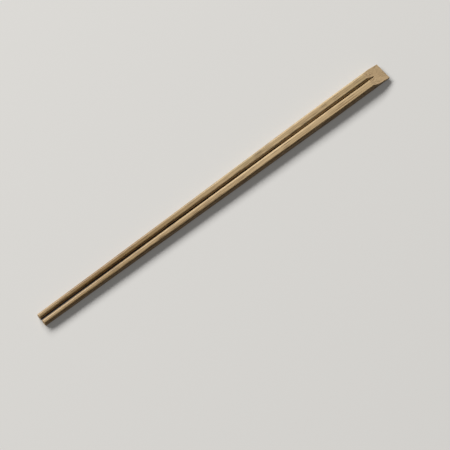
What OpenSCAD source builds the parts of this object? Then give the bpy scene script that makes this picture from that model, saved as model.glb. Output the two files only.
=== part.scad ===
// A joined pair of bamboo chopsticks, lying on its flat underside.
// Two tapered sticks are left in one piece of bamboo: a slit runs from the tips to the head,
// which stays whole and is cut on a slant to a thin end.
// X runs along the sticks with the head at +X, Z is up, and the origin lies under the middle.

/* [Overall] */
// Length from the tips to the end of the head
total_len = 240; // [200:1:280]
// Length of the tapered stretch, from the tips
taper_len = 200; // [100:1:220]

/* [Head] */
// Width across both sticks at the head
head_w = 11; // [9:0.1:14]
// Thickness of the head and of the straight stretch
head_t = 4.7; // [4:0.1:7]
// Size of the soft bevel along the long edges, here and along the straight stretch
head_r = 1.2; // [0.4:0.05:2]
// Form of that bevel: 2 is a quarter circle, and nearer 1 is flatter
head_form = 1.35; // [1.1:0.05:2]
// Length of whole bamboo that joins the sticks
join_len = 7.3; // [3:0.1:20]
// Width of the slit along the straight stretch
slit_w = 0.35; // [0.2:0.05:1]

/* [Slant cut] */
// Length of the slant cut along the head
cut_len = 11.6; // [6:0.1:20]
// Thickness left at the end of the head
end_t = 2; // [0.6:0.05:3]

/* [Tips] */
// Width of one stick at its tip
tip_w = 3.3; // [3:0.05:4.2]
// Thickness of a stick at its tip
tip_t = 3.9; // [3:0.05:4.5]
// Size of the rounding along the long edges at a tip
tip_r = 1.45; // [0.4:0.05:1.7]
// Form of that rounding, on the same scale as the bevel's
tip_form = 2; // [1.1:0.05:2]
// Gap between the two tips
tip_gap = 0.9; // [0.4:0.05:2]
// Easing of the edges round the cut tips
tip_ease = 0.35; // [0.1:0.05:0.8]

/* [Hidden] */

// Colour of carbonised bamboo
bamboo = "#AC9470";
// Chords in each corner of a section
corner_steps = 10;
// Largest share of a stick's width or thickness that one corner may take
corner_share = 0.48;
// Largest share of a corner that the easing of a tip may take
ease_share = 0.8;
// Overshoot of the slant's cutting block past the bamboo
spare = 2;

tip_x = -total_len / 2;
head_x = total_len / 2;
taper_x = tip_x + taper_len;
join_x = head_x - join_len;
cut_x = head_x - cut_len;
cut_slope = atan2(head_t - end_t, cut_len);

// A size at x that grows evenly over the taper and then stays as it is at the head
function tapered(x, at_tip, at_head) = at_tip + (at_head - at_tip) * min(1, (x - tip_x) / taper_len);

// One stick's inner side, outer side, thickness, and the size of its corners at x
function inner_y(x) = tapered(x, tip_gap, slit_w) / 2;
function outer_y(x) = tapered(x, tip_gap / 2 + tip_w, head_w / 2);
function thickness(x) = tapered(x, tip_t, head_t);
function corner_r(x) = min(tapered(x, tip_r, head_r), corner_share * thickness(x),
                           corner_share * (outer_y(x) - inner_y(x)));

// A place on a quarter circle, drawn in along one axis where the corner at x is flatter than a circle
function bevelled(place, x) = sign(place) * pow(abs(place), 2 / tapered(x, tip_form, head_form));

// The outline of a section at x: a rectangle from low_y to high_y with soft corners, drawn in by inset
function section(x, low_y, high_y, inset = 0) =
    let (r = corner_r(x),
         left = low_y + r,
         right = high_y - r,
         top = thickness(x) - r,
         centres = [[right, top], [left, top], [left, r], [right, r]])
    [for (i = [0:3])
        for (k = [0:corner_steps])
            let (turn = 90 * (i + k / corner_steps))
            [x, centres[i].x + (r - inset) * bevelled(cos(turn), x),
                centres[i].y + (r - inset) * bevelled(sin(turn), x)]];

// A solid skinned over a row of sections that all have the same number of points
module loft(sections) {
    n = len(sections[0]);
    last = len(sections) - 1;
    polyhedron(
        points = [for (outline = sections) each outline],
        faces = [
            [for (i = [0:n - 1]) i],
            for (s = [0:last - 1])
                for (i = [0:n - 1])
                    let (j = (i + 1) % n)
                    [s * n + i, (s + 1) * n + i, (s + 1) * n + j, s * n + j],
            [for (i = [n - 1:-1:0]) last * n + i]
        ]
    );
}

// One stick from its eased tip to the join, on the +Y side of the slit
module stick() {
    ease = min(tip_ease, ease_share * corner_r(tip_x));
    stations = [tip_x + ease, if (taper_x < join_x) taper_x, join_x];
    loft([
        section(tip_x, inner_y(tip_x), outer_y(tip_x), ease),
        for (x = stations) section(x, inner_y(x), outer_y(x))
    ]);
}

// The whole head, as wide as both sticks and the slit
module head() {
    stations = [join_x, if (taper_x > join_x && taper_x < head_x) taper_x, head_x];
    loft([for (x = stations) section(x, -outer_y(x), outer_y(x))]);
}

// The waste above the slant, which falls from the upper face to the thin end
module slant_waste() {
    translate([cut_x, -head_w / 2 - spare, head_t])
        rotate([0, cut_slope, 0])
            translate([-spare, 0, 0])
                cube([cut_len * 2, head_w + 2 * spare, head_t]);
}

module chopstick_pair() {
    color(bamboo)
        difference() {
            union() {
                stick();
                mirror([0, 1, 0]) stick();
                head();
            }
            slant_waste();
        }
}

chopstick_pair();
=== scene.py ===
"""The looks of a joined pair of bamboo chopsticks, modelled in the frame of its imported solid."""

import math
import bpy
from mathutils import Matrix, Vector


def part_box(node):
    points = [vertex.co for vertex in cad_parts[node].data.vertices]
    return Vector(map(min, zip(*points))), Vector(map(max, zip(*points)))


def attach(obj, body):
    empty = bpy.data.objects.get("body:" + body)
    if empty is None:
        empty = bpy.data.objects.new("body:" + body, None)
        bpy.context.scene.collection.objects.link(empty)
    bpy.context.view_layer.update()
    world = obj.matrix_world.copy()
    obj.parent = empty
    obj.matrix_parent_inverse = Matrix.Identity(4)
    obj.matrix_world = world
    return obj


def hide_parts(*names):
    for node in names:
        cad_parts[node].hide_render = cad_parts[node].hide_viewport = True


bl_info = {
    "name": "Bamboo chopsticks",
    "version": (1, 0, 0),
    "blender": (4, 5, 0),
    "location": "View3D > Sidebar > Chopsticks",
    "description": "Models a joined pair of bamboo chopsticks and the stage that shows it",
    "category": "Add Mesh",
}

import bmesh
import bpy
from bpy.props import FloatProperty, FloatVectorProperty, IntProperty, PointerProperty
from bpy.types import Operator, Panel, PropertyGroup
from mathutils import Matrix, Vector, noise

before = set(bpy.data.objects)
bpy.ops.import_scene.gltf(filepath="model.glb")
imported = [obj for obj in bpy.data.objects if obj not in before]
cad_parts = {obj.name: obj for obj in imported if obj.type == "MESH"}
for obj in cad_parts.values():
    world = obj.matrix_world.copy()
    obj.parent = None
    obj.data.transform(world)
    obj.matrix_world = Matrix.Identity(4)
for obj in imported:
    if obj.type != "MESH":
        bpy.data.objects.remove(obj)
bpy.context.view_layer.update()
NODE = "chopstick_pair"
LOW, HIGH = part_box(NODE)

MM = 0.001
# Two points closer than this are the same point
TOUCH = 1e-7
# Two points closer than this lie on the same flat, and are merged where the two halves meet
NEAR = 10 * TOUCH
# Faces that meet at more than this angle have a sharp edge between them
SHARP = math.radians(35)
# Least part of a face's normal along an axis, for a face that leans that way and for one that faces it
LEANING = 0.2
FACING = 0.9
# Depth of the finer grooves beside that of the others
FINE_SHARE = 0.5
# The two sticks read the noise this far to either side, so that they differ
WEAR_SHIFT = 7.0
SWAY_SHIFT = 3.0
# Below this height nothing is pushed down, so that the sticks lie flat
UNDERSIDE = 0.5 * MM
# Values between which a pattern goes from nothing to full
DRIFT_RANGE = (0.3, 0.7)
BUNDLE_RANGE = (0.55, 0.15)
FIBRE_RANGE = (0.38, 0.65)
FLECK_RANGE = (0.5, 0.2)
PIT_RANGE = (0.9, 0.1)
# Places of a colour Mix node's sockets: its share, its two colours and its result
MIX_SHARE, MIX_FROM, MIX_TO, MIXED = 0, 6, 7, 2


def linear(code):
    """Turn an sRGB hex colour into linear RGB."""
    parts = [int(code[i:i + 2], 16) / 255 for i in (1, 3, 5)]
    return tuple(p / 12.92 if p <= 0.04045 else ((p + 0.055) / 1.055) ** 2.4 for p in parts)


def length(name, description, millimetres):
    """A size property, written in millimetres and kept in metres."""
    return FloatProperty(name=name, description=description, default=millimetres * MM,
                         min=0.0, precision=5, unit="LENGTH")


def angle(name, description, degrees):
    """An angle property, written in degrees and kept in radians."""
    return FloatProperty(name=name, description=description, default=math.radians(degrees), unit="ROTATION")


def share(name, description, default):
    """A property for a strength or for a part of a whole."""
    return FloatProperty(name=name, description=description, default=default, min=0.0)


def steps(name, description, default):
    """A property for the number of faces across a rounded edge."""
    return IntProperty(name=name, description=description, default=default, min=2)


def form(name, default):
    """A property for how full a corner is."""
    return FloatProperty(name=name, description="2 is a quarter circle, and nearer 1 is a flatter bevel",
                         default=default, min=1.1, max=2.0)


def colour(name, description, code):
    """A colour property, written as an sRGB hex value and kept as linear RGB."""
    return FloatVectorProperty(name=name, description=description, default=linear(code),
                               min=0.0, max=1.0, size=3, subtype="COLOR")


class ChopstickSizes(PropertyGroup):
    """Sizes of the bamboo that the frame's box doesn't give."""

    taper_len: length("Taper length", "Tapered stretch of the sticks, from the tips", 200)
    head_r: length("Head bevel", "Soft bevel along the long edges at the head", 1.2)
    head_form: form("Head bevel form", 1.35)
    tip_r: length("Tip rounding", "Rounding along the long edges at a tip", 1.45)
    tip_form: form("Tip rounding form", 2.0)
    join_len: length("Join length", "Whole bamboo that joins the sticks at the head", 7.3)
    slit_w: length("Slit width", "Slit between the sticks along the straight stretch", 0.35)
    cut_len: length("Slant length", "Length of the slant cut along the head", 11.6)
    end_t: length("End thickness", "Thickness left at the end of the head", 2)
    tip_w: length("Tip width", "Width of one stick at its tip", 3.3)
    tip_t: length("Tip thickness", "Thickness of a stick at its tip", 3.9)
    tip_gap: length("Tip gap", "Gap between the two tips", 0.9)
    tip_ease: length("Tip easing", "Easing of the edges round the cut tips", 0.35)
    rim_ease: length("Rim easing", "Wear on the knife-cut edges of the head", 0.12)
    fibre_depth: length("Fibre depth", "Depth of the grooves between the fibres", 0.03)
    groove_w: length("Groove width", "Spacing of the grooves across the stick", 0.8)
    groove_run: length("Groove run", "Length over which a groove keeps its depth", 40)
    fine_w: length("Fine groove width", "Spacing of the finer grooves across the stick", 0.5)
    fine_run: length("Fine groove run", "Length over which a finer groove keeps its depth", 15)
    corner_wear: length("Corner wear", "Unevenness of the sides and the corners along the sticks", 0.06)
    wear_w: length("Wear width", "Spacing of that unevenness across the stick", 6)
    wear_run: length("Wear run", "Spacing of that unevenness along the stick", 22)
    sway: length("Sway", "How far a stick wanders from a straight line", 0.08)
    sway_run: length("Sway run", "Length over which a stick wanders to one side", 80)
    sway_fade: length("Sway fade", "Stretch over which the sway dies out towards the head", 60)
    still_len: length("Still length", "Stretch at the head that doesn't sway", 12)
    ring_step: length("Ring step", "Spacing of the mesh along the sticks", 0.8)
    strip_w: length("Strip width", "Spacing of the mesh across the flats and on the slant cut", 0.3)
    corner_steps: steps("Corner steps", "Faces across one rounded corner", 8)
    ease_steps: steps("Easing steps", "Faces across the easing of a tip", 3)
    rim_steps: steps("Rim steps", "Faces across the wear on a knife-cut edge", 2)


class BambooGrain(PropertyGroup):
    """Colours and finish of the carbonised bamboo, and sizes of its grain."""

    pale: colour("Pale bamboo", "Ground tissue where it is lightest", "#C5A97F")
    tan: colour("Tan bamboo", "Ground tissue where it is darker and more olive", "#A59166")
    fibre: colour("Fibre", "Bundles of fibre that run along the sticks", "#6E5029")
    toast: colour("Toasted bamboo", "Stretch near the tips, which the steam browns most", "#8A6A3C")
    # On the slit walls this dark colour is partly painted shade; on the vessel flecks it is their own
    sawn_and_shade: colour("Sawn wall", "Walls of the slit, browned by the saw, and opened vessels", "#3A2412")
    bare: colour("Bare cut", "Cut ends, paler than the planed sides", "#C1A57C")
    pit: colour("Torn pit", "Hollow left by a torn bundle on the slant cut", "#3A2613")
    bundle_gap: length("Bundle gap", "Spacing of the fibre bundles across the stick", 0.7)
    bundle_run: length("Bundle run", "Length over which a bundle keeps its place", 140)
    fibre_w: length("Fibre width", "Width of the single fibres' streaks", 0.25)
    fibre_run: length("Fibre run", "Length of the single fibres' streaks", 20)
    fleck_w: length("Fleck width", "Spacing of the vessels, which are dark flecks where planed open", 0.4)
    fleck_run: length("Fleck run", "Spacing of the dark flecks along the stick", 8)
    drift_w: length("Drift width", "Spacing across the stick of the drift in colour", 3)
    drift_run: length("Drift run", "Spacing along the stick of the drift in colour", 30)
    toast_run: length("Toast run", "Browned length of the sticks, from the tips", 165)
    toast_fade: length("Toast fade", "Where the browning starts to fade, from the tips", 20.6)
    toast_rise: length("Toast rise", "Stretch over which the browning grows, from the tips", 33)
    tip_toast: share("Tip toast", "Browning of the very tips, where full is 1", 0.45)
    low_toast: share("Toast at -Y", "Browning at the pair's -Y side", 0.18)
    high_toast: share("Toast at +Y", "Browning at the pair's +Y side", 1.27)
    between: share("Between bundles", "Fibre that shows between the bundles", 0.2)
    open_vessels: share("Open vessels", "Share of the vessels that the plane opened", 0.3)
    fleck_planed: share("Planed flecks", "Strength of the flecks on the planed sides", 0.6)
    fleck_cut: share("Cut flecks", "Strength of the flecks on the cut ends", 0.3)
    satin_low: share("Least roughness", "Roughness of the planed sides where they shine most", 0.34)
    satin_high: share("Most roughness", "Roughness of the planed sides where they shine least", 0.5)
    cut_dulling: share("Cut dulling", "Roughness that the cut ends have beyond that", 0.25)
    bump: share("Bump", "Strength of the finest relief, which is bump", 0.6)
    bump_depth: length("Bump depth", "Depth of the finest relief", 0.04)
    bundle_sink: share("Bundle sink", "How far the bundles lie below the rest of that relief", 0.5)
    pit_x: length("Pit place", "Place of the torn pit along the sticks", 111.8)
    pit_y: length("Pit side", "Place of the torn pit across the sticks", 2.05)
    pit_r: length("Pit width", "Half the width of the torn pit", 0.3)
    pit_run: length("Pit length", "Half the length of the torn pit", 0.6)
    pit_depth: length("Pit depth", "Depth of the torn pit", 0.25)
    pit_fray: share("Pit fray", "How far the fibres fray the pit's edge, as a share of its width", 0.6)


class StageSettings(PropertyGroup):
    """Camera, light and floor."""

    azimuth: angle("Camera azimuth", "Turn of the camera about the vertical", -39.15)
    elevation: angle("Camera elevation", "Height of the camera above the floor", 64.9)
    distance: length("Camera distance", "From the camera to the point that it looks at", 947)
    lens: FloatProperty(name="Lens", description="Focal length", default=139.67, unit="CAMERA")
    aim: FloatVectorProperty(name="Aim", description="Point on the floor that the camera looks at",
                             default=(-9.27 * MM, -17.37 * MM, 0.0), subtype="TRANSLATION", precision=5)
    key_azimuth: angle("Key azimuth", "Turn of the key light about the vertical", 190.0)
    key_elevation: angle("Key elevation", "Height of the key light", 34.0)
    key_distance: length("Key distance", "From the key light to the sticks", 6000)
    key_width: length("Key width", "Level side of the key light", 6600)
    key_height: length("Key height", "Upright side of the key light", 2100)
    key_level: share("Key level", "Light that the key gives the floor, where 1 is about full", 1.055)
    fill_level: share("Fill level", "Even light from all round", 0.07)
    floor_size: length("Floor size", "Side of the square floor", 12000)
    floor_colour: colour("Floor", "Matt pale floor, as it is seen", "#DCDAD6")
    bounce_colour: colour("Floor bounce", "The floor as it lights the bamboo from below", "#7C684E")
    shadow_lift: share("Shadow lift", "Share of the floor's colour that shows in full shade", 0.15)


def every(bm):
    """All the vertices, edges and faces of a mesh."""
    return bm.verts[:] + bm.edges[:] + bm.faces[:]


def runs_along(edge):
    """Whether an edge runs along the sticks and not across them."""
    return abs(edge.verts[0].co.x - edge.verts[1].co.x) > TOUCH


def lies_flat(edge):
    """Whether an edge crosses one of the sticks' flat sides, and not a rounded corner."""
    first, second = edge.verts[0].co, edge.verts[1].co
    across = min(abs(first.y - second.y), abs(first.z - second.z))
    return across < NEAR and not runs_along(edge)


def split(bm, edges, step):
    """Cut edges of one length into pieces of about one step."""
    cuts = max(0, round(max(e.calc_length() for e in edges) / step) - 1)
    bmesh.ops.subdivide_edges(bm, edges=edges, cuts=cuts, use_grid_fill=True)


def rounded(bm, edges, radius, segments):
    """Round off edges by a radius."""
    bmesh.ops.bevel(bm, geom=edges, offset=radius, offset_type="OFFSET", segments=segments, profile=0.5,
                    affect="EDGES", clamp_overlap=True, material=-1)


def moved_onto(place, old, new, corner_form):
    """Move a place on a section with round corners onto another section.

    Flats go onto flats and corners onto corners. A section is given along one axis by its two sides
    and the size of its corners.
    """
    low, high, corner = old
    new_low, new_high, new_corner = new
    on_flat = min(max(place, low + corner), high - corner)
    along_flat = (on_flat - low - corner) / (high - low - 2 * corner)
    new_flat = new_low + new_corner + along_flat * (new_high - new_low - 2 * new_corner)
    reach = (abs(place - on_flat) / corner) ** (2 / corner_form)
    return new_flat + math.copysign(reach * new_corner, place - on_flat)


def tapered_stick(bm, size):
    """One stick from its eased tip to the join, on the +Y side of the slit."""
    join_x = HIGH.x - size.join_len
    taper_x = LOW.x + size.taper_len
    inner_y = size.slit_w / 2
    tip_y = size.tip_gap / 2
    middle = Vector(((LOW.x + join_x) / 2, (inner_y + HIGH.y) / 2, HIGH.z / 2))
    spread = Matrix.Diagonal((join_x - LOW.x, HIGH.y - inner_y, HIGH.z, 1.0))
    bmesh.ops.create_cube(bm, size=1.0, matrix=Matrix.Translation(middle) @ spread)
    rounded(bm, [e for e in bm.edges if runs_along(e)], size.head_r, size.corner_steps)
    bmesh.ops.bisect_plane(bm, geom=every(bm), dist=TOUCH, plane_co=(taper_x, 0, 0), plane_no=(1, 0, 0))
    across = (inner_y, HIGH.y, size.head_r)
    upright = (0.0, HIGH.z, size.head_r)
    for v in bm.verts:
        if v.co.x < taper_x - TOUCH:
            v.co.y = moved_onto(v.co.y, across, (tip_y, tip_y + size.tip_w, size.tip_r), size.tip_form)
            v.co.z = moved_onto(v.co.z, upright, (0.0, size.tip_t, size.tip_r), size.tip_form)
        else:
            v.co.y = moved_onto(v.co.y, across, across, size.head_form)
            v.co.z = moved_onto(v.co.z, upright, upright, size.head_form)
    tip_face = min(bm.faces, key=lambda f: f.calc_center_median().x)
    rounded(bm, tip_face.edges[:], size.tip_ease, size.ease_steps)
    split(bm, [e for e in bm.edges if lies_flat(e)], size.strip_w)
    for low_x, high_x in ((LOW.x, taper_x), (taper_x, join_x)):
        stretch = [e for e in bm.edges if runs_along(e)
                   and min(v.co.x for v in e.verts) > low_x - TOUCH
                   and max(v.co.x for v in e.verts) < high_x + TOUCH
                   and e.calc_length() > size.tip_ease]
        split(bm, stretch, size.ring_step)


def whole_head(bm, size):
    """The head's half: the stick's outer outline carried on from the join, with the slit's end wall."""
    join_x = HIGH.x - size.join_len
    corner_y = size.slit_w / 2 + size.head_r
    end = max(bm.faces, key=lambda f: f.calc_center_median().x)
    ring = end.edges[:]
    bmesh.ops.delete(bm, geom=[end], context="FACES_ONLY")
    outer = [e for e in ring if min(v.co.y for v in e.verts) > corner_y - NEAR]
    inner = [e for e in ring if e not in outer]
    corners = sorted((v for v in {v for e in inner for v in e.verts} if v.co.y > corner_y - NEAR),
                     key=lambda v: v.co.z)
    low = bm.verts.new((join_x, 0.0, 0.0))
    high = bm.verts.new((join_x, 0.0, HIGH.z))
    sides = [bm.edges.new((low, corners[0])), bm.edges.new((high, corners[1]))]
    bmesh.ops.edgeloop_fill(bm, edges=inner + sides + [bm.edges.new((low, high))])
    made = bmesh.ops.extrude_edge_only(bm, edges=outer + sides)["geom"]
    far = [v for v in made if isinstance(v, bmesh.types.BMVert)]
    bmesh.ops.translate(bm, vec=(size.join_len, 0, 0), verts=far)
    rim = [e for e in made if isinstance(e, bmesh.types.BMEdge) and not runs_along(e)]
    open_ends = sorted((v for v in far if v.co.y < TOUCH), key=lambda v: v.co.z)
    bmesh.ops.edgeloop_fill(bm, edges=rim + [bm.edges.new(open_ends)])
    rungs = [e for e in bm.edges if runs_along(e) and max(v.co.x for v in e.verts) > HIGH.x - TOUCH]
    split(bm, rungs, size.ring_step)


def slant_cut(bm, size):
    """Cut the head on a slant and close it with the cut face."""
    slope = math.atan2(HIGH.z - size.end_t, size.cut_len)
    crown = (HIGH.x - size.cut_len, 0.0, HIGH.z)
    made = bmesh.ops.bisect_plane(bm, geom=every(bm), dist=TOUCH, plane_co=crown, clear_outer=True,
                                  plane_no=(math.sin(slope), 0.0, math.cos(slope)))
    rim = [e for e in made["geom_cut"] if isinstance(e, bmesh.types.BMEdge)]
    bmesh.ops.edgeloop_fill(bm, edges=rim)
    bmesh.ops.recalc_face_normals(bm, faces=bm.faces[:])
    ends = [e for e in bm.edges if min(v.co.x for v in e.verts) > HIGH.x - TOUCH
            and e.calc_face_angle() > SHARP]
    rounded(bm, list(set(rim + ends)), size.rim_ease, size.rim_steps)
    cut = max(bm.faces, key=lambda f: f.calc_area())
    grid = [cut] + cut.edges[:] + cut.verts[:]
    for axis, low, high in ((0, crown[0], HIGH.x), (1, LOW.y, HIGH.y)):
        count = round((high - low) / size.strip_w)
        for i in range(1, count):
            point = Vector()
            normal = Vector()
            point[axis] = low + (high - low) * i / count
            normal[axis] = 1.0
            grid = bmesh.ops.bisect_plane(bm, geom=grid, dist=TOUCH, plane_co=point,
                                          plane_no=normal)["geom"]


def mark_cut_faces(bm, size):
    """Note faces cut across the grain, and the slit's walls, which get painted shade in the finish."""
    cut = bm.faces.layers.float.new("cut_face")
    sawn_and_shade = bm.faces.layers.float.new("slit_shade_face")
    bm.normal_update()
    for face in bm.faces:
        middle = face.calc_center_median()
        normal = face.normal
        on_slant = normal.x > LEANING and middle.x > HIGH.x - size.cut_len
        on_end = abs(normal.x) > FACING
        face[cut] = 1.0 if on_slant or on_end else 0.0
        in_slit = abs(middle.y) < size.tip_gap and middle.y * normal.y < 0 and abs(normal.y) > FACING
        face[sawn_and_shade] = 1.0 if in_slit else 0.0


def grain_noise(place, run, width, shift=0.0):
    """Smooth noise that is long along the sticks and narrow across them."""
    return noise.noise((place.x / run, shift + place.y / width, place.z / width))


def bamboo_relief(bm, size, grain):
    """Give the bamboo the low grooves of its fibres, uneven corners, a slight sway and the torn pit."""
    bm.normal_update()
    moves = []
    for v in bm.verts:
        place = v.co
        side = 1.0 if place.y > 0 else -1.0
        fibres = (grain_noise(place, size.groove_run, size.groove_w)
                  + FINE_SHARE * grain_noise(place, size.fine_run, size.fine_w))
        wear = grain_noise(place, size.wear_run, size.wear_w, side * WEAR_SHIFT)
        push = v.normal * (size.fibre_depth * fibres + size.corner_wear * wear)
        to_head = HIGH.x - size.still_len - place.x
        if to_head > 0:
            bend = noise.noise((place.x / size.sway_run, side * SWAY_SHIFT, 0.0))
            push.y += size.sway * bend * min(1.0, to_head / size.sway_fade)
        if place.z < UNDERSIDE:
            push.z = max(push.z, 0.0)
        to_pit = math.hypot((place.x - grain.pit_x) / grain.pit_run, (place.y - grain.pit_y) / grain.pit_r)
        if to_pit < 1.0 and place.z > HIGH.z / 2:
            push.z -= grain.pit_depth * (1.0 - to_pit ** 2)
        moves.append(push)
    for v, push in zip(bm.verts, moves):
        v.co += push


def add_node(tree, kind, inputs=None, **settings):
    """Add a node with its settings, and fill or link its inputs."""
    node = tree.nodes.new(kind)
    for name, value in settings.items():
        setattr(node, name, value)
    for socket, value in (inputs or {}).items():
        if isinstance(value, bpy.types.NodeSocket):
            tree.links.new(value, node.inputs[socket])
        else:
            node.inputs[socket].default_value = value
    return node


def new_material(name):
    """An empty node material with its output node."""
    material = bpy.data.materials.new(name)
    material.use_nodes = True
    tree = material.node_tree
    tree.nodes.clear()
    return material, tree, add_node(tree, "ShaderNodeOutputMaterial")


def opaque(rgb):
    """A colour property as RGBA."""
    return (*rgb, 1.0)


def carbonised_bamboo(grain):
    """Bamboo browned by steam, planed and tumbled.

    Fibre bundles run the whole length, so the sides are streaked, the cut tips are dotted
    and the slant cut shows long flecks; the planed sides are satin and the cut ends are dull.
    """
    material, tree, output = new_material("carbonised_bamboo_planed")
    place = add_node(tree, "ShaderNodeTexCoord").outputs["Object"]
    where = add_node(tree, "ShaderNodeSeparateXYZ", {0: place})
    # Each pattern is long along the stick and narrow across it
    # Single fibres are too fine to show, so their streaks are drawn coarser
    patterns = {
        "bundle": (grain.bundle_run, grain.bundle_gap),
        "fibre": (grain.fibre_run, grain.fibre_w),
        "fleck": (grain.fleck_run, grain.fleck_w),
        "drift": (grain.drift_run, grain.drift_w),
    }
    space = {}
    for name, (run, width) in patterns.items():
        scale = (1 / run, 1 / width, 1 / width)
        space[name] = add_node(tree, "ShaderNodeMapping", {"Vector": place, "Scale": scale}).outputs[0]

    # Ground tissue that drifts between pale and tan
    drift = add_node(tree, "ShaderNodeTexNoise", {"Vector": space["drift"], "Scale": 1.0, "Detail": 2.0})
    tan_share = add_node(tree, "ShaderNodeMapRange", {
        "Value": drift.outputs["Fac"], "From Min": DRIFT_RANGE[0], "From Max": DRIFT_RANGE[1]})
    # The +Y stick is the browner of the two
    browner = add_node(tree, "ShaderNodeMapRange", {
        "Value": where.outputs["Y"], "From Min": LOW.y, "From Max": HIGH.y})
    ground_share = add_node(tree, "ShaderNodeMath", {0: browner.outputs[0], 1: tan_share.outputs[0]},
                            operation="MULTIPLY")
    ground = add_node(tree, "ShaderNodeMix", {
        MIX_SHARE: ground_share.outputs[0], MIX_FROM: opaque(grain.pale), MIX_TO: opaque(grain.tan)},
        data_type="RGBA")

    # Browning that grows from the tips and then fades towards the head
    past_tip = add_node(tree, "ShaderNodeMapRange", {
        "Value": where.outputs["X"], "From Min": LOW.x, "From Max": LOW.x + grain.toast_rise,
        "To Min": grain.tip_toast, "To Max": 1.0})
    near_tip = add_node(tree, "ShaderNodeMapRange", {
        "Value": where.outputs["X"], "From Min": LOW.x + grain.toast_fade,
        "From Max": LOW.x + grain.toast_run, "To Min": past_tip.outputs[0], "To Max": 0.0},
        interpolation_type="SMOOTHSTEP")
    side_share = add_node(tree, "ShaderNodeMapRange", {
        "Value": browner.outputs[0], "To Min": grain.low_toast, "To Max": grain.high_toast})
    toast_share = add_node(tree, "ShaderNodeMath", {0: near_tip.outputs[0], 1: side_share.outputs[0]},
                           operation="MULTIPLY")
    toasted = add_node(tree, "ShaderNodeMix", {
        MIX_SHARE: toast_share.outputs[0], MIX_FROM: ground.outputs[MIXED], MIX_TO: opaque(grain.toast)},
        data_type="RGBA")

    # The slant and the ends are cut through the browned skin, and are a little paler
    cut = add_node(tree, "ShaderNodeAttribute", attribute_name="cut_face")
    bared = add_node(tree, "ShaderNodeMix", {
        MIX_SHARE: cut.outputs["Fac"], MIX_FROM: toasted.outputs[MIXED], MIX_TO: opaque(grain.bare)},
        data_type="RGBA")

    # Fibre bundles: streaks on the sides, dots on the tips, long flecks on the slant cut
    bundles = add_node(tree, "ShaderNodeTexVoronoi", {
        "Vector": space["bundle"], "Scale": 1.0, "Randomness": 0.9})
    bundle = add_node(tree, "ShaderNodeMapRange", {
        "Value": bundles.outputs["Distance"], "From Min": BUNDLE_RANGE[0], "From Max": BUNDLE_RANGE[1],
        "To Min": grain.between}, interpolation_type="SMOOTHSTEP")
    fibres = add_node(tree, "ShaderNodeTexNoise", {"Vector": space["fibre"], "Scale": 1.0, "Detail": 3.0})
    fine = add_node(tree, "ShaderNodeMapRange", {
        "Value": fibres.outputs["Fac"], "From Min": FIBRE_RANGE[0], "From Max": FIBRE_RANGE[1]})
    fibre_share = add_node(tree, "ShaderNodeMath", {0: bundle.outputs[0], 1: fine.outputs[0]},
                           operation="MULTIPLY")
    streaked = add_node(tree, "ShaderNodeMix", {
        MIX_SHARE: fibre_share.outputs[0], MIX_FROM: bared.outputs[MIXED], MIX_TO: opaque(grain.fibre)},
        data_type="RGBA")

    # Short dark flecks where the plane opened a vessel
    flecks = add_node(tree, "ShaderNodeTexVoronoi", {"Vector": space["fleck"], "Scale": 1.0})
    fleck_depth = add_node(tree, "ShaderNodeMapRange", {
        "Value": cut.outputs["Fac"], "To Min": grain.fleck_planed, "To Max": grain.fleck_cut})
    near_fleck = add_node(tree, "ShaderNodeMapRange", {
        "Value": flecks.outputs["Distance"], "From Min": FLECK_RANGE[0], "From Max": FLECK_RANGE[1],
        "To Max": fleck_depth.outputs[0]})
    chance = add_node(tree, "ShaderNodeSeparateColor", {0: flecks.outputs["Color"]})
    open_vessel = add_node(tree, "ShaderNodeMath", {0: chance.outputs[0], 1: 1 - grain.open_vessels},
                           operation="GREATER_THAN")
    fleck = add_node(tree, "ShaderNodeMath", {0: near_fleck.outputs[0], 1: open_vessel.outputs[0]},
                     operation="MULTIPLY")
    flecked = add_node(tree, "ShaderNodeMix", {
        MIX_SHARE: fleck.outputs[0], MIX_FROM: streaked.outputs[MIXED], MIX_TO: opaque(grain.sawn_and_shade)},
        data_type="RGBA")

    # Walls in the slit, browned by the saw and darker still as painted shade between the sticks
    sawn_and_shade = add_node(tree, "ShaderNodeAttribute", attribute_name="slit_shade_face")
    browned = add_node(tree, "ShaderNodeMix", {
        MIX_SHARE: sawn_and_shade.outputs["Fac"], MIX_FROM: flecked.outputs[MIXED], MIX_TO: opaque(grain.sawn_and_shade)},
        data_type="RGBA")

    # The torn pit on the slant cut, with an edge that the fibres fray
    from_pit = add_node(tree, "ShaderNodeMapping", {
        "Vector": place, "Location": (-grain.pit_x / grain.pit_run, -grain.pit_y / grain.pit_r, 0.0),
        "Scale": (1 / grain.pit_run, 1 / grain.pit_r, 0.0)})
    to_pit = add_node(tree, "ShaderNodeVectorMath", {0: from_pit.outputs[0]}, operation="LENGTH")
    frayed = add_node(tree, "ShaderNodeMath", {
        0: fine.outputs[0], 1: -grain.pit_fray, 2: to_pit.outputs["Value"]}, operation="MULTIPLY_ADD")
    in_pit = add_node(tree, "ShaderNodeMapRange", {
        "Value": frayed.outputs[0], "From Min": PIT_RANGE[0], "From Max": PIT_RANGE[1]},
        interpolation_type="SMOOTHSTEP")
    upper = add_node(tree, "ShaderNodeMath", {0: where.outputs["Z"], 1: HIGH.z / 2},
                     operation="GREATER_THAN")
    pit_share = add_node(tree, "ShaderNodeMath", {0: in_pit.outputs[0], 1: upper.outputs[0]},
                         operation="MULTIPLY")
    pitted = add_node(tree, "ShaderNodeMix", {
        MIX_SHARE: pit_share.outputs[0], MIX_FROM: browned.outputs[MIXED], MIX_TO: opaque(grain.pit)},
        data_type="RGBA")

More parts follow.
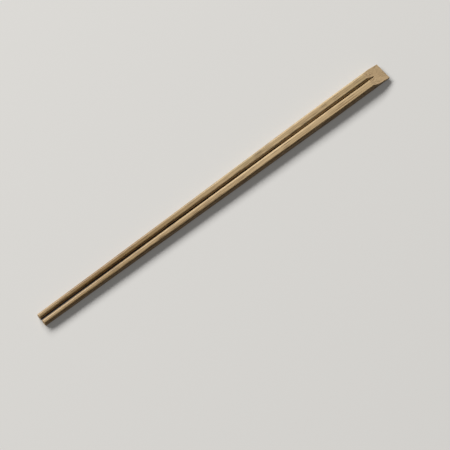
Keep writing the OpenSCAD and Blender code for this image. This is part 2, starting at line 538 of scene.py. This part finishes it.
    # Satin where planed, dull where cut, and fibres that stand a little proud
    satin = add_node(tree, "ShaderNodeMapRange", {
        "Value": fibres.outputs["Fac"], "To Min": grain.satin_low, "To Max": grain.satin_high})
    roughness = add_node(tree, "ShaderNodeMath", {
        0: cut.outputs["Fac"], 1: grain.cut_dulling, 2: satin.outputs[0]}, operation="MULTIPLY_ADD")
    height = add_node(tree, "ShaderNodeMath", {
        0: bundle.outputs[0], 1: -grain.bundle_sink, 2: fibres.outputs["Fac"]}, operation="MULTIPLY_ADD")
    bump = add_node(tree, "ShaderNodeBump", {
        "Height": height.outputs[0], "Strength": grain.bump, "Distance": grain.bump_depth})
    shader = add_node(tree, "ShaderNodeBsdfPrincipled", {
        "Base Color": pitted.outputs[MIXED], "IOR": 1.5, "Roughness": roughness.outputs[0],
        "Normal": bump.outputs[0]})
    tree.links.new(shader.outputs[0], output.inputs["Surface"])
    return material


def matt_floor(stage):
    """Matt painted board: even and pale, with no gloss.

    Its bounce is weaker than its colour, which keeps the shaded sides dark, and a little of its colour
    shows by itself, which lightens the shadow and puts no more light on the bamboo.
    """
    material, tree, output = new_material("matt_painted_board")
    ray = add_node(tree, "ShaderNodeLightPath").outputs
    mirrored = add_node(tree, "ShaderNodeMath", {0: ray["Is Glossy Ray"], 1: ray["Is Transmission Ray"]},
                        operation="MAXIMUM")
    seen = add_node(tree, "ShaderNodeMath", {0: ray["Is Camera Ray"], 1: mirrored.outputs[0]},
                    operation="MAXIMUM")
    tone = add_node(tree, "ShaderNodeMix", {
        MIX_SHARE: seen.outputs[0], MIX_FROM: opaque(stage.bounce_colour),
        MIX_TO: opaque(stage.floor_colour)}, data_type="RGBA")
    painted = add_node(tree, "ShaderNodeBsdfDiffuse", {"Color": tone.outputs[MIXED]})
    lifted = add_node(tree, "ShaderNodeEmission", {"Color": opaque(stage.floor_colour)})
    lift = add_node(tree, "ShaderNodeMath", {0: seen.outputs[0], 1: stage.shadow_lift},
                    operation="MULTIPLY")
    shader = add_node(tree, "ShaderNodeMixShader", {
        0: lift.outputs[0], 1: painted.outputs[0], 2: lifted.outputs[0]})
    tree.links.new(shader.outputs[0], output.inputs["Surface"])
    return material


def new_object(name, bm, material):
    """Make a mesh object at the origin from a bmesh."""
    mesh = bpy.data.meshes.new(name)
    bm.to_mesh(mesh)
    bm.free()
    mesh.materials.append(material)
    piece = bpy.data.objects.new(name, mesh)
    bpy.context.scene.collection.objects.link(piece)
    return piece


def away(azimuth, elevation):
    """The direction from the object to a camera or a lamp."""
    flat = math.cos(elevation)
    return Vector((math.sin(azimuth) * flat, -math.cos(azimuth) * flat, math.sin(elevation)))


class CHOPSTICKS_OT_make_pair(Operator):
    """Model the joined pair of sticks in carbonised bamboo"""

    bl_idname = "chopsticks.make_pair"
    bl_label = "Make the pair of sticks"

    def execute(self, context):
        size = context.scene.chopstick_sizes
        grain = context.scene.bamboo_grain
        bm = bmesh.new()
        tapered_stick(bm, size)
        whole_head(bm, size)
        bmesh.ops.mirror(bm, geom=every(bm), matrix=Matrix(), merge_dist=NEAR, axis="Y")
        bmesh.ops.remove_doubles(bm, verts=bm.verts[:], dist=NEAR)
        slant_cut(bm, size)
        mark_cut_faces(bm, size)
        bamboo_relief(bm, size, grain)
        open_edges = sum(1 for e in bm.edges if not e.is_manifold)
        if open_edges:
            raise RuntimeError(f"the sticks have {open_edges} open edges")
        piece = new_object("bamboo_sticks", bm, carbonised_bamboo(grain))
        piece.data.shade_smooth()
        piece.data.set_sharp_from_angle(angle=SHARP)
        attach(piece, "root")
        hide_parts(NODE)
        return {"FINISHED"}


class CHOPSTICKS_OT_make_stage(Operator):
    """Set up the floor, the light and the camera"""

    bl_idname = "chopsticks.make_stage"
    bl_label = "Make the stage"

    def execute(self, context):
        scene = context.scene
        stage = scene.chopstick_stage
        scene.view_settings.view_transform = "Standard"

        bm = bmesh.new()
        bmesh.ops.create_grid(bm, x_segments=1, y_segments=1, size=stage.floor_size / 2)
        new_object("floor", bm, matt_floor(stage))

        camera = bpy.data.objects.new("camera", bpy.data.cameras.new("camera"))
        camera.data.lens = stage.lens
        back = away(stage.azimuth, stage.elevation)
        camera.location = Vector(stage.aim) + back * stage.distance
        camera.rotation_euler = back.to_track_quat("Z", "Y").to_euler()
        scene.collection.objects.link(camera)
        scene.camera = camera

        key = bpy.data.objects.new("key_light", bpy.data.lights.new("key_light", "AREA"))
        key.data.shape = "RECTANGLE"
        key.data.size = stage.key_width
        key.data.size_y = stage.key_height
        to_key = away(stage.key_azimuth, stage.key_elevation)
        key.location = to_key * stage.key_distance
        key.rotation_euler = to_key.to_track_quat("Z", "Y").to_euler()
        # The power at which a far lamp makes a white floor render white
        full_light = math.pi ** 2 * stage.key_distance ** 2 / math.sin(stage.key_elevation)
        key.data.energy = stage.key_level * full_light
        scene.collection.objects.link(key)

        world = bpy.data.worlds.new("soft_fill")
        world.use_nodes = True
        background = world.node_tree.nodes["Background"]
        background.inputs["Color"].default_value = opaque((1.0, 1.0, 1.0))
        background.inputs["Strength"].default_value = stage.fill_level
        scene.world = world
        return {"FINISHED"}


class CHOPSTICKS_PT_panel(Panel):
    """Sizes, colours and the steps that make the chopsticks"""

    bl_idname = "CHOPSTICKS_PT_panel"
    bl_label = "Chopsticks"
    bl_space_type = "VIEW_3D"
    bl_region_type = "UI"
    bl_category = "Chopsticks"

    def draw(self, context):
        scene = context.scene
        for group in (scene.chopstick_sizes, scene.bamboo_grain, scene.chopstick_stage):
            box = self.layout.box()
            for name in group.__annotations__:
                box.prop(group, name)
        self.layout.operator(CHOPSTICKS_OT_make_pair.bl_idname)
        self.layout.operator(CHOPSTICKS_OT_make_stage.bl_idname)


CLASSES = (ChopstickSizes, BambooGrain, StageSettings, CHOPSTICKS_OT_make_pair, CHOPSTICKS_OT_make_stage,
           CHOPSTICKS_PT_panel)


def register():
    for cls in CLASSES:
        bpy.utils.register_class(cls)
    bpy.types.Scene.chopstick_sizes = PointerProperty(type=ChopstickSizes)
    bpy.types.Scene.bamboo_grain = PointerProperty(type=BambooGrain)
    bpy.types.Scene.chopstick_stage = PointerProperty(type=StageSettings)


def unregister():
    del bpy.types.Scene.chopstick_stage
    del bpy.types.Scene.bamboo_grain
    del bpy.types.Scene.chopstick_sizes
    for cls in reversed(CLASSES):
        bpy.utils.unregister_class(cls)


def main():
    register()
    bpy.ops.chopsticks.make_pair()
    bpy.ops.chopsticks.make_stage()


if __name__ == "__main__":
    main()
